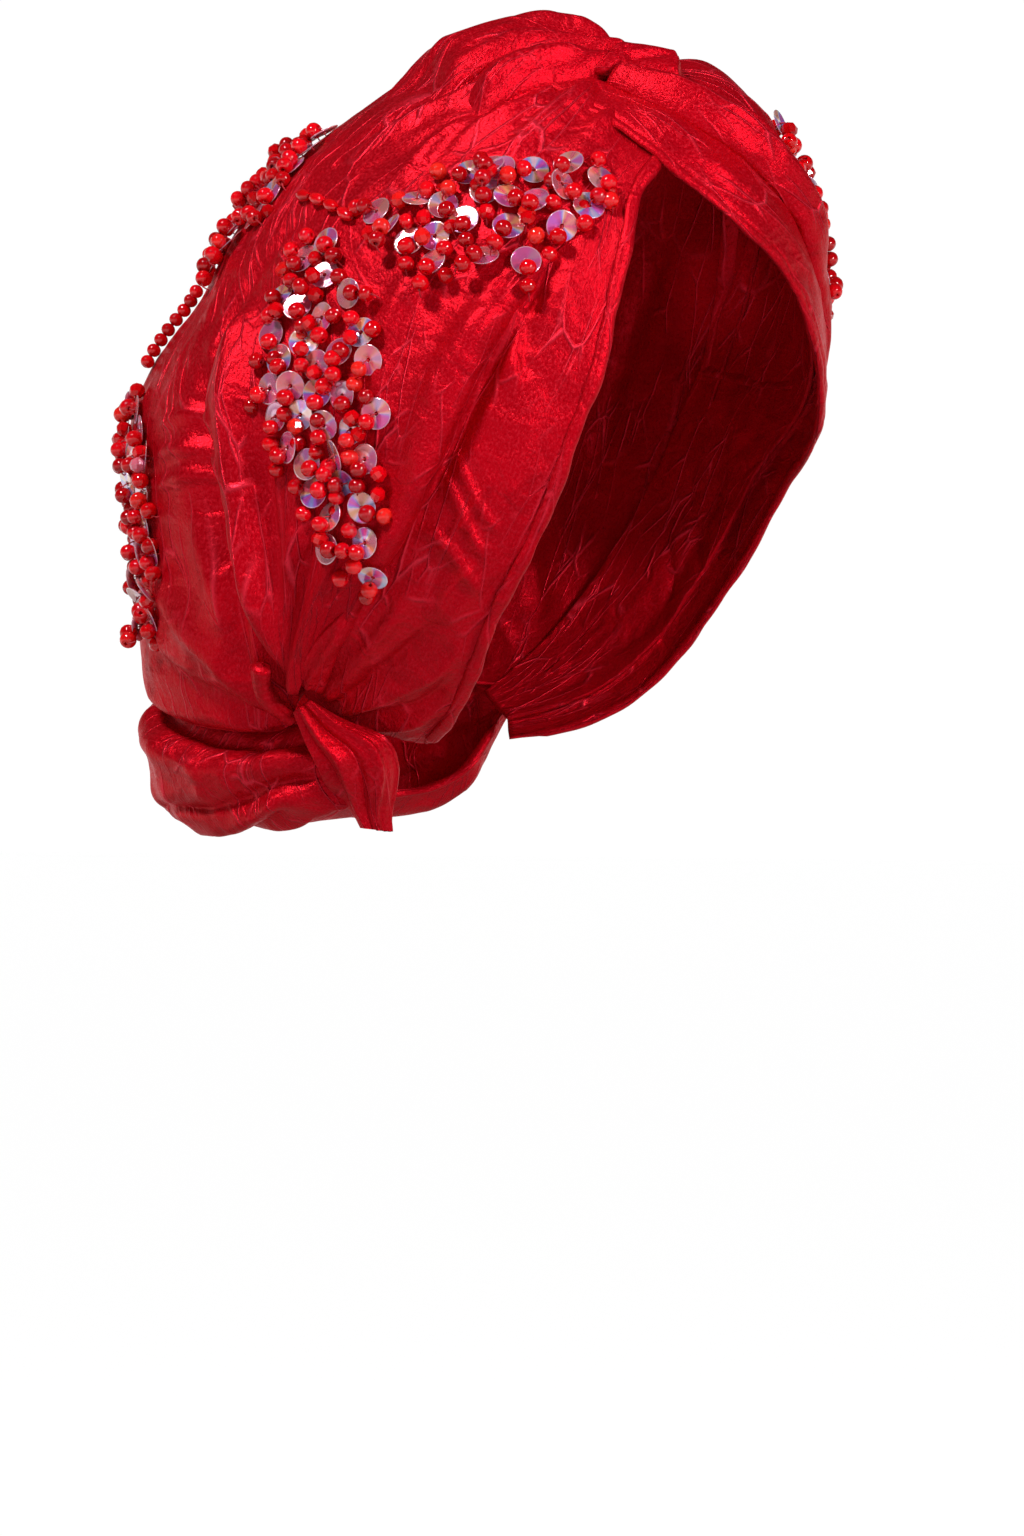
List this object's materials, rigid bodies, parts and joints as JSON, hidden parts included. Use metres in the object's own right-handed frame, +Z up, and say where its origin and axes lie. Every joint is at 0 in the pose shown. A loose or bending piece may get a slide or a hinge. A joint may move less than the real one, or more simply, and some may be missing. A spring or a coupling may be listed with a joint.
{
  "type": "turban",
  "caption": "Pre-tied head wrap of crushed satin: pleated cap with edge band, twisted crown folds, nape pouch and gathered tail, with embroidered leaves of sequins and beads.",
  "frame": {"origin": "middle of the head that the turban sits on, between the temples", "axes": "+Z up to the crown; the wearer faces -Y; the wearer's right side is at -X"},
  "size_m": [0.1672, 0.2152, 0.2363],
  "materials": {
    "red_satin": "crushed satin, soft sheen",
    "pearl_sequin": "translucent, iridescent",
    "ruby_bead": "polished"
  },
  "bodies": {
    "root": {"cap_panel": "red_satin", "front_panel_right": "red_satin", "front_panel_left": "red_satin", "front_band": "red_satin", "front_roll": "red_satin", "crown_panel_left": "red_satin", "crown_roll_front": "red_satin", "crown_roll_back": "red_satin", "top_pleat": "red_satin", "side_flap": "red_satin", "nape_pouch": "red_satin", "nape_tail": "red_satin", "nape_loop": "red_satin", "leaf_front_right": "pearl_sequin", "leaf_side_right": "pearl_sequin", "leaf_rear_upper": "pearl_sequin", "leaf_rear_lower": "pearl_sequin", "leaf_front_left": "pearl_sequin", "bead_link": "ruby_bead", "bead_row_back": "ruby_bead"}
  },
  "joints": []
}
